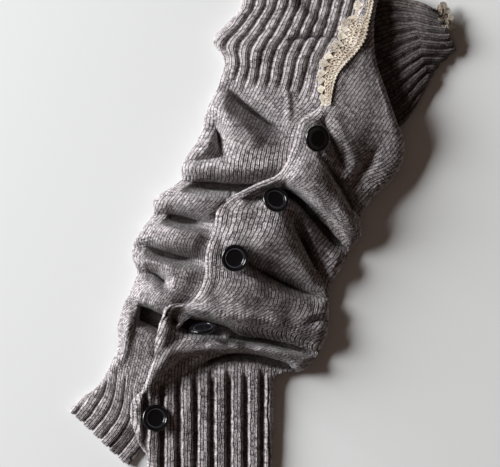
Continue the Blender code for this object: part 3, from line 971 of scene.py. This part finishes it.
FLARE_ROWS = np.array([
    (393, 131, 362, 4, 0, 2.6, 0.3, 5.5),
    (407, 118, 384, -2, 0, 3, 0.3, 7),
    (423, 91, 405, 1, 0, 3.2, 0.3, 9),
    (441, 62, 426, 7, 0, 3, 0.3, 11),
    (455, 50, 436, 12, 0, 2.8, 0.3, 10),
], float)

LACE_ROWS = np.array([
    (324.5, 110, 330, 105), (322.5, 97, 332, 92), (320.5, 78, 337, 75),
    (326, 58, 347, 62), (336, 46, 357, 51),
    (341, 33, 365, 38), (345, 22, 368, 24), (357.5, 14, 371, 12), (358.5, 0, 373.5, 0), (361, -16, 377, -16),
], float)

HEM_LACE_ROWS = np.array([
    (440, 3, 434, 10), (447, 10, 438.5, 17), (452, 20, 443, 26), (453, 28, 445, 31),
], float)

INNER_ROWS = np.array([
    (82, 411, 256, 474, 2.3, 2.3),
    (103, 396, 256, 424, 2.3, 2.4),
    (126, 372, 252, 396, 2.3, 3),
    (140, 340, 282, 350, 3.0, 6),
    (150, 306, 308, 318, 4, 8),
    (154, 268, 318, 270, 4, 8),
    (160, 236, 336, 236, 4, 8),
    (186, 206, 342, 214, 4, 8),
    (204, 174, 372, 172, 4, 8),
    (222, 130, 384, 150, 4, 7),
    (232, 98, 372, 118, 4, 6),
    (238, 66, 368, 90, 3, 4.5),
    (232, 42, 366, 60, 3.2, 3.4),
    (248, 14, 369, 22, 3.2, 3.2),
    (246, -20, 375, -12, 3.2, 3.2),
], float)


def front_right() -> Panel:
    """The front panel right of the placket, with its rolled edge."""
    t = knots(RIGHT_ROWS)
    creases = (
        Crease(((140, 400, 0), (160, 386, 0.1), (185, 373, 0.4), (205, 361, 0.8), (228, 353, 1),
                 (258, 354, 1),
                (275, 358, 1), (290, 364, 1), (296, 372, 0.8)), 6, 22, 1.2, 0.2),
        Crease(((172, 308, 1), (190, 317, 1), (212, 321, 1), (228, 326, 1), (238, 333, 1), (265, 338, 1),
                (292, 344, 1), (312, 350, 0.7), (322, 354, 0.3)), 11, 13, 1.6, 0.25),
        Crease(((178, 314, 1), (190, 321, 1), (206, 324, 1), (221, 327, 1), (230, 332, 0.5)),
               5, 16, 0.6, 0.5),
        Crease(((232, 262, 0.1), (248, 266, 0.6), (264, 274, 0.95), (285, 285, 1), (308, 294, 0.9), (328, 300, 0.4)),
               25, 10),
        Crease(((290, 220, 0.2), (299, 240, 0.8), (311, 264, 0.8), (326, 286, 0.4)), 15, 9, -2),
        Crease(((256, 192, 0.3), (270, 187, 0.9), (285, 188, 1), (300, 196, 1),
                 (320, 217, 1), (340, 240, 0.9), (352, 252, 0.4)), 13, 18, 1.6, 0.25),
        Crease(((322, 156, 0.1), (336, 177, 0.5), (353, 206, 0.6)), 12, 7, 1),
        Crease(((350, 188, 0.3), (363, 168, 0.4), (378, 148, 0.1)), 10, 12),
        Crease(((324, 124, 0.3), (333, 144, 0.5), (344, 168, 0.3)), 14, 11),
        Crease(((308, 323, 0.1), (318, 320, 0.4), (330, 316, 0.3)), 7, 7),
    )
    ridges = (
        Ridge(((222, 228, 2), (248, 236, 4), (280, 243, 5), (303, 262, 4), (322, 286, 3)), 17),
        Ridge(((268, 178, 2), (300, 168, 4), (326, 188, 4), (352, 226, 3)), 15),
        Ridge(((150, 372, 1), (172, 352, 3), (196, 343, 2), (215, 340, 0)), 10),
        Ridge(((212, 345, 2), (240, 345, 5), (266, 349, 6), (286, 355, 6), (298, 364, 4)), 8),
        Ridge(((180, 300, 1), (230, 314, 3), (280, 324, 5), (315, 336, 3)), 13),
        Ridge(((288, 206, -2), (302, 226, -5), (322, 250, -5), (340, 268, -3)), 15),
    )
    ribs = (Rib(-1.0, float(t[3]) + 0.005, 5.0, 0.67, 3.1, 2.27),)
    return Panel("front_right_knit", RIGHT_ROWS, creases, ridges, ribs, (0.0, 2.0), 40.0,
                 bead=True, seed=3, pieces=3,
                 bumps=30.0, rim=1.6, spread=0.68, least_wale=WALE,
                 runs=(Run(271, 0, 40, 90, float(t[3]), float(t[7])),
                       Run(334, 87, 0, 55, float(t[20]), float(t[17]))))


def front_left() -> Panel:
    """The front panel left of the placket."""
    t = knots(LEFT_ROWS)
    creases = (
        Crease(((133, 305, 0.1), (140, 305, 0.8), (149, 307, 1), (160, 312, 1), (174, 319, 1)),
               6, 26, 1.2, 0.5),
        Crease(((148, 272, 0.9), (156, 275, 1), (164, 281, 1)), 12, 14),
        Crease(((136, 240, 0.2), (148, 245, 0.8), (160, 250, 1), (178, 255, 1), (196, 258, 0.7), (212, 262, 0.2)),
               16, 15, 0.7, 0.18),
        Crease(((158, 212, 0.1), (167, 213, 0.7), (176, 215, 1), (190, 218, 1), (203, 221, 0.7), (218, 224, 0.1)),
               15, 16, 0.6, 0.22),
        Crease(((182, 180, 0.2), (194, 181, 0.7), (208, 182, 1), (232, 184, 1), (262, 184, 1), (275, 184, 1)),
               17, 18, 0.7, 0.25),
        Crease(((180, 160, 0.6), (200, 160, 0.5), (222, 157, 0.3), (240, 156, 0)), 10, 8),
        Crease(((212, 112, 0.1), (216, 128, 0.7), (219, 141, 0.9), (221, 152, 0.5)), 15, 12),
        Crease(((220, 78, 0.5), (234, 96, 1), (252, 111, 1), (270, 124, 0.9), (288, 135, 0.4)), 22, 19),
        Crease(((233, 186, 0.2), (229, 204, 0.4), (226, 228, 0.2)), 3, 3),
        Crease(((242, 186, 0.2), (237, 198, 0.4), (233, 214, 0.2)), 3, 3),
        Crease(((290, 38, 0.3), (315, 35, 0.5), (340, 37, 0.5)), 7, 7, 1),
        Crease(((300, 2, 0.4), (320, 15, 0.8), (342, 26, 0.6)), 12, 11),
    )
    ridges = (
        Ridge(((160, 198, 1.5), (190, 198, 2.5), (225, 203, 1)), 12),
        Ridge(((136, 292, 2), (156, 292, 3), (172, 300, 3), (185, 306, 2)), 11),
        Ridge(((127, 308, 2), (127, 326, 6), (122, 350, 4), (114, 372, 0)), 9),
        Ridge(((134, 342, 3), (150, 350, 4), (150, 372, 3), (134, 396, 2)), 13),
        Ridge(((206, 104, 2), (224, 118, 7), (243, 131, 8), (264, 146, 2)), 14),
        Ridge(((192, 144, 1), (200, 148, 4), (206, 152, 1)), 8),
        Ridge(((286, 84, 0.5), (288, 105, 1.6), (290, 128, 1)), 5),
    )
    ribs = (Rib(-1.0, float(t[3]), 4.0, 0.76, 1.1), Rib(float(t[18]) + 0.01, 2.0, 3.0, 0.64, 1.2))
    return Panel("front_left_knit", LEFT_ROWS, creases, ridges, ribs, (-4.6, 9.0), 36.0,
                 seed=5, pieces=3, held=4.0)


def band_flare() -> Panel:
    """The corner of the upper band that flares out to the right."""
    ribs = (Rib(-1.0, 2.0, 3.0, 0.62, 1.3),)
    return Panel("band_flare_knit", FLARE_ROWS, (), (), ribs, None, 30.0, seed=7)


class InnerLayers:
    """The back and what is gathered inside, one rounded knit solid on the table."""

    def __init__(self, cell: float = 1.0) -> None:
        """Keeps the size of a grid cell in mm."""
        self.cell = cell

    def build(self) -> bpy.types.Object:
        """Makes the solid: a low dome 1-|2s-1|^2.2 across each row over a flat underside.

        Returns:
            The object.
        """
        at = np.linspace(0, 1, 340)
        row = flow(INNER_ROWS, at)
        left, right = to_mm(row[:, :2]), to_mm(row[:, 2:4])
        share = np.linspace(0, 1, 130)[None]
        place = left[:, None] * (1 - share[..., None]) + right[:, None] * share[..., None]
        z = row[:, 4:5] + (row[:, 5:6] - row[:, 4:5]) * (1 - np.abs(2 * share - 1) ** 2.2)
        wale = np.broadcast_to(share * 62, z.shape)
        course = np.broadcast_to((at * 240)[:, None], z.shape)
        lift = 0.3 * np.cos(math.tau * wale)
        top = np.dstack([place, np.maximum(z - 3.0, 1.0) + lift * (share * (1 - share) > 0.001)])
        below = np.dstack([place, np.full_like(z, 0.02)])[:, ::-1]
        ring = np.concatenate([top, below, top[:, :1]], axis=1)
        uv = np.dstack([np.concatenate([wale, wale[:, ::-1], wale[:, :1]], 1),
                        np.concatenate([course, course, course[:, :1]], 1)])
        caps = np.repeat(ring[:1].mean(axis=1, keepdims=True), ring.shape[1], axis=1)
        cape = np.repeat(ring[-1:].mean(axis=1, keepdims=True), ring.shape[1], axis=1)
        ring = np.concatenate([caps, ring, cape], axis=0)
        uv = np.pad(uv, ((1, 1), (0, 0), (0, 0)), mode="edge")
        return grid_mesh("inner_layers_knit", ring, uv)


@dataclass
class Trim:
    """A crocheted cotton trim: a close ground sewn on along one edge, with fans of thread along the other.

    rows: free edge x, y; sewn edge x, y. rise and fall: how far in mm the sewn
    edge stands over the line of heights, and how much lower the free edge lies.
    close: the share of the width at which the ground starts.
    """

    name: str
    rows: np.ndarray
    height: Callable[[np.ndarray], np.ndarray]
    rise: float
    fall: float
    fan: float = 5.6
    thick: float = 0.32
    seed: int = 11
    close: float = 0.22

    def at(self, u: np.ndarray, v: np.ndarray) -> np.ndarray:
        """Points of the trim.

        Args:
            u: Shares of its length.
            v: Shares of its width, 0 at the free edge and 1 at the sewn one.

        Returns:
            Points in mm, with a slow sum of sines for the puckers.
        """
        row = flow(self.rows, np.clip(u, 0, 1))
        free, sewn = to_mm(row[:, :2]), to_mm(row[:, 2:4])
        flat = free * (1 - v[:, None]) + sewn * v[:, None]
        pucker = (0.5 * np.sin(u * self.length() / 3.1 + 4 * v)
                  + 0.35 * np.sin(u * self.length() / 1.7 + 1.3 - 5 * v))
        z = self.height(flat[:, 1]) + self.rise - self.fall * (1 - v) + pucker * (1 - v * 0.6)
        return np.column_stack([flat, z])

    def length(self) -> float:
        """Length of the trim's middle line, mm."""
        middle = to_mm((self.rows[:, :2] + self.rows[:, 2:4]) / 2)
        return float(np.linalg.norm(np.diff(middle, axis=0), axis=1).sum())

    def width(self) -> float:
        """Mean way between the trim's edges, mm."""
        return float(np.linalg.norm(to_mm(self.rows[:, :2]) - to_mm(self.rows[:, 2:4]), axis=1).mean())

    def ground(self) -> bpy.types.Object:
        """The close ground: a grid between the edges, drawn in a little and pierced by nothing."""
        along, across = int(self.length() / 0.7), 16
        u, v = np.meshgrid(np.linspace(0.0, 1, along), np.linspace(self.close, 1.0, across), indexing="ij")
        points = self.at(u.ravel(), v.ravel()).reshape(along, across, 3)
        points[..., 2] -= 0.45
        return grid_mesh(f"{self.name}_ground", points, np.dstack([u * self.length() / 1.6, v * 8]))

    def fans(self) -> list[np.ndarray]:
        """Paths of the fans' threads: seven spokes and a scalloped arc with picots for each."""
        paths = []
        rng = np.random.default_rng(self.seed + 1)
        count = max(2, round(self.length() / self.fan))
        for k in range(count):
            middle = (k + 0.5 + rng.uniform(-0.12, 0.12)) / count
            foot, rim, beside = (self.at(np.array([u]), np.array([v]))[0]
                                 for u, v in ((middle, 0.34), (middle, 0.08), (middle + 0.01, 0.08)))
            along = (beside - rim) / np.linalg.norm(beside - rim)
            out = (rim - foot) - along * ((rim - foot) @ along)
            out /= np.linalg.norm(out)
            half = rng.uniform(0.42, 0.62) * self.length() / count
            reach = rng.uniform(0.8, 1.3) * half
            turn = np.linspace(-1.45, 1.45, 43)
            far = 1 + 0.16 * np.abs(np.sin(3.5 * (turn + 1.45) / 1.45 * math.pi / 2 * 2))
            arc = (rim + along * (half * np.sin(turn) * far)[:, None]
                   + out * (reach * np.cos(turn) * far)[:, None])
            arc[:, 2] += 0.25
            paths += [arc, rim * 0.3 + arc * 0.7]
            paths += [np.linspace(foot, arc[j], 12) for j in range(3, 43, 6)]
        return paths

    def net(self) -> list[np.ndarray]:
        """Paths of the ground's threads: zigzags both ways and wavy lines along."""
        rng = np.random.default_rng(self.seed)
        long = self.length()
        paths = []
        for v in (0.34, 0.52, 0.74, 0.96, 1.0):
            u = np.linspace(0, 1, int(long / 0.45))
            sway = 0.045 * np.sin(u * long * math.tau / 2.6 + rng.uniform(0, math.tau))
            path = self.at(u, v + sway)
            path[:, 2] += 0.2 * np.cos(u * long * math.tau / 1.3)
            paths.append(path)
        for lean in (-1, 1):
            for start in np.arange(0, long, 2.3):
                t = np.linspace(0, 1, 22)
                u = (start + lean * 2.2 * t + rng.uniform(-0.3, 0.3)) / long
                keep = (u > 0) & (u < 1)
                if keep.sum() > 4:
                    path = self.at(u[keep], 0.32 + 0.68 * t[keep])
                    path[:, 2] += 0.25 * np.sin(t[keep] * 22 + start)
                    paths.append(path)
        return paths

    def build(self) -> tuple[bpy.types.Object, bpy.types.Object]:
        """Makes the ground and its threads.

        Returns:
            Both objects.
        """
        return self.ground(), tubes(f"{self.name}_threads", self.fans() + self.net(), self.thick)


def tubes(name: str, paths: list[np.ndarray], radius: float, sides: int = 6) -> bpy.types.Object:
    """One mesh of round threads along paths.

    Args:
        name: Name of the object.
        paths: Points in mm, a few tenths of a millimetre apart.
        radius: The threads' radius in mm.
        sides: Corners round a thread.

    Returns:
        The object.
    """
    points, faces, uvs, first = [], [], [], 0
    angle = np.linspace(0, math.tau, sides, endpoint=False)
    for path in paths:
        way = np.gradient(path, axis=0)
        way /= np.maximum(np.linalg.norm(way, axis=1), 1e-9)[:, None]
        side = np.cross(way, (0.05, 0.03, 1.0))
        side /= np.maximum(np.linalg.norm(side, axis=1), 1e-9)[:, None]
        up = np.cross(side, way)
        ring = path[:, None] + radius * (side[:, None] * np.cos(angle)[None, :, None]
                                         + up[:, None] * np.sin(angle)[None, :, None])
        index = first + np.arange(len(path) * sides).reshape(len(path), sides)
        after = np.roll(index, -1, axis=1)
        faces.append(np.stack([index[:-1], after[:-1], after[1:], index[1:]], axis=-1).reshape(-1, 4))
        points.append(ring.reshape(-1, 3))
        strand_uv = np.column_stack([np.zeros(len(path)), np.arange(len(path)) * 0.4])
        uvs.append(np.repeat(strand_uv, sides, axis=0))
        first += len(path) * sides
    return mesh_object(name, np.vstack(points), np.vstack(faces), np.vstack(uvs))


@dataclass
class ShankButton:
    """A round resin button on a thread shank, fitted over its CAD node."""

    number: int
    facing: tuple[float, float, float]
    radius: float = 9.5
    thick: float = 3.6
    shank: float = 2.4
    steps: int = 72

    def profile(self) -> np.ndarray:
        """Radius and height of the outline, from the middle of the face to the shank's foot, in mm."""
        r, top = self.radius, self.shank + self.thick
        return np.array([
            (0.0, top - 1.25), (0.30 * r, top - 1.22), (0.52 * r, top - 1.12), (0.60 * r, top - 0.98),
            (0.635 * r, top - 0.70), (0.66 * r, top - 0.62), (0.69 * r, top - 0.68), (0.71 * r, top - 0.80),
            (0.74 * r, top - 0.72), (0.78 * r, top - 0.28), (0.83 * r, top - 0.04), (0.88 * r, top),
            (0.93 * r, top - 0.10), (0.975 * r, top - 0.5), (r, top - 1.1), (0.985 * r, top - 1.8),
            (0.93 * r, top - 2.6), (0.80 * r, top - 3.3), (0.6 * r, self.shank), (0.3 * r, self.shank - 0.1),
            (2.3, self.shank - 0.4), (1.9, self.shank * 0.5), (2.2, 0.0), (0.0, 0.0)])

    def seat(self) -> tuple[np.ndarray, np.ndarray]:
        """Where the button stands, read off its CAD node.

        Returns:
            The shank's foot in mm, and a matrix whose columns are the button's own axes.
        """
        axis = Vector(self.facing).normalized()
        turn = np.array(axis.to_track_quat("Z", "Y").to_matrix())
        node = bpy.data.objects[f"button_{self.number}"]
        flat = np.empty(len(node.data.vertices) * 3, np.float32)
        node.data.vertices.foreach_get("co", flat)
        points = flat.reshape(-1, 3).astype(float) * 1000
        high = points @ np.array(axis)
        face = points[high > high.max() - 0.06]
        face = np.unique(np.round(face, 2), axis=0)
        return face.mean(0) - np.array(axis) * (self.shank + self.thick), turn

    def build(self) -> bpy.types.Object:
        """Spins the outline about the button's axis.

        Returns:
            The object.
        """
        foot, turn = self.seat()
        outline = self.profile()
        fine = np.interp(np.linspace(0, len(outline) - 1, 70), np.arange(len(outline)), outline[:, 0])
        high = np.interp(np.linspace(0, len(outline) - 1, 70), np.arange(len(outline)), outline[:, 1])
        angle = np.linspace(0, math.tau, self.steps, endpoint=False)
        ring = np.stack([fine[1:-1, None] * np.cos(angle), fine[1:-1, None] * np.sin(angle),
                         np.broadcast_to(high[1:-1, None], (68, self.steps))], axis=-1)
        points = np.vstack([[0, 0, high[0]], ring.reshape(-1, 3), [0, 0, high[-1]]]) @ turn.T + foot
        index = 1 + np.arange(68 * self.steps).reshape(68, self.steps)
        after = np.roll(index, -1, axis=1)
        quads = np.stack([index[:-1], index[1:], after[1:], after[:-1]], axis=-1).reshape(-1, 4)
        first = np.stack([np.zeros_like(index[0]), index[0], after[0], after[0]], axis=-1)
        last = np.stack([np.full_like(index[-1], len(points) - 1), after[-1], index[-1], index[-1]], axis=-1)
        share = np.concatenate([[0.0], np.repeat(fine[1:-1] / self.radius, self.steps), [0.0]])
        # The back's shares go past the painted highlight ring, so only the face gets it.
        share[1 + 40 * self.steps:] += 2.0
        return polygon_object(f"button_{self.number}_resin", points,
                              [*first[:, :3], *last[:, :3], *quads], share)


def polygon_object(name: str, points: np.ndarray, faces: list, share: np.ndarray) -> bpy.types.Object:
    """An object from points in mm and faces of mixed corners.

    Args:
        name: Name of the object.
        points: Points in mm.
        faces: Lists of point numbers.
        share: Each point's share of the radius, kept as its first map coordinate.

    Returns:
        The object, smooth, at the origin.
    """
    mesh = bpy.data.meshes.new(name)
    mesh.from_pydata((points * 0.001).tolist(), [], [tuple(int(i) for i in f) for f in faces])
    mesh.polygons.foreach_set("use_smooth", np.ones(len(mesh.polygons), bool))
    mesh.update()
    corner = np.empty(len(mesh.loops), np.int32)
    mesh.loops.foreach_get("vertex_index", corner)
    flat = np.column_stack([share[corner], np.zeros(len(corner))])
    mesh.uv_layers.new(name="turned").data.foreach_set("uv", flat.astype(np.float32).ravel())
    obj = bpy.data.objects.new(name, mesh)
    bpy.context.scene.collection.objects.link(obj)
    return obj


def dress(obj: bpy.types.Object, finish: object, slot: str, *nodes: str) -> None:
    """Gives a piece its finish, attaches it to the root body and hides the CAD nodes that it stands for.

    Args:
        obj: The piece.
        finish: A Yarn or Resin.
        slot: The record's material slot; not used.
        *nodes: CAD nodes that it stands for.
    """
    obj.data.materials.clear()
    obj.data.materials.append(finish.material())
    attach(obj, "root")
    if nodes:
        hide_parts(*nodes)
    log.info("%s: %d faces", obj.name, len(obj.data.polygons))


class Studio:
    """The table, the light and the camera."""

    def build(self) -> None:
        """Lays the table, hangs a soft window light at the left and a camera straight above."""
        mesh = bpy.data.meshes.new("table")
        mesh.from_pydata([(-1.6, -1.6, 0), (1.6, -1.6, 0), (1.6, 1.6, 0), (-1.6, 1.6, 0)], [], [(0, 1, 2, 3)])
        table = bpy.data.objects.new("table", mesh)
        bpy.context.scene.collection.objects.link(table)
        mesh.materials.append(Tabletop().material())
        self.light("window", (-2.62, 1.0, 1.24), 1.6, 218.0, (0.95, 0.98, 1.0))
        world = bpy.data.worlds.new("room")
        world.use_nodes = True
        world.node_tree.nodes["Background"].inputs["Color"].default_value = (1.0, 0.73, 0.60, 1)
        world.node_tree.nodes["Background"].inputs["Strength"].default_value = 0.065
        bpy.context.scene.world = world
        self.camera()
        view = bpy.context.scene.view_settings
        view.view_transform = "Standard"
        view.look = "None"

    def light(self, name: str, place: tuple[float, float, float], size: float, power: float,
              colour: tuple[float, float, float]) -> None:
        """Adds an area light that looks at the cuff.

        Args:
            name: Its name.
            place: Where it hangs, m.
            size: Its side, m.
            power: Its power, W.
            colour: Its colour.
        """
        data = bpy.data.lights.new(name, "AREA")
        data.size, data.energy, data.color = size, power, colour
        obj = bpy.data.objects.new(name, data)
        obj.location = place
        obj.rotation_euler = (Vector((0, 0, 0)) - Vector(place)).to_track_quat("-Z", "Y").to_euler()
        bpy.context.scene.collection.objects.link(obj)

    def camera(self) -> None:
        """A long lens straight above, whose frame on the table is 350 mm wide."""
        data = bpy.data.cameras.new("camera")
        high = 4.0
        data.sensor_width = 36.0
        data.sensor_fit = "HORIZONTAL"
        data.lens = 36.0 * high / (0.350 * (high / (high + 0.0)))
        data.clip_end = 20.0
        obj = bpy.data.objects.new("camera", data)
        obj.location = (0.0, 0.0, high + 0.015)
        bpy.context.scene.collection.objects.link(obj)
        bpy.context.scene.camera = obj


def main() -> None:
    """Builds the pieces in order and reports each."""
    logging.basicConfig(level=logging.INFO, format="%(message)s")
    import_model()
    Studio().build()
    # The band's flare takes the knit painted darker as shade.
    for panel, node, yarn in ((front_right(), "front_right", KNIT), (front_left(), "front_left", KNIT),
                              (band_flare(), "band_flare", SHADED_KNIT)):
        for piece, cut in zip(panel.build(), panel.cuts):
            dress(piece, yarn, "heather_knit", node)
            log.info("%s: cut %.1f x %.1f mm", piece.name, cut[0] * 1000, cut[1] * 1000)
    placket = front_left().placket_height
    trims = (Trim("lace_front", LACE_ROWS, placket, 3.4, 4.4),
             Trim("lace_hem", HEM_LACE_ROWS, np.ones_like, 8.6, 2.5, fan=4.6, seed=12, close=0.1))
    for trim, under in zip(trims, ("front_left_knit_3", "band_flare_knit")):
        ground, threads = trim.build()
        dress(ground, GROUND, "cream_lace", trim.name)
        dress(threads, THREAD, "cream_lace", trim.name)
        wide, long = trim.width() * 0.001, trim.length() * 0.001
    inner = InnerLayers().build()
    dress(inner, KNIT, "heather_knit", "inner_layers")
    facings = ((0.5, -0.05, 0.86), (0.3, 0.4, 0.86), (0.05, -0.05, 1.0), (-0.1, 0.93, 0.35), (0.2, 0.1, 0.97))
    for number, facing in enumerate(facings, 1):
        dress(ShankButton(number, facing).build(), BLACK, "black_gloss", f"button_{number}")


if __name__ == "__main__":
    main()
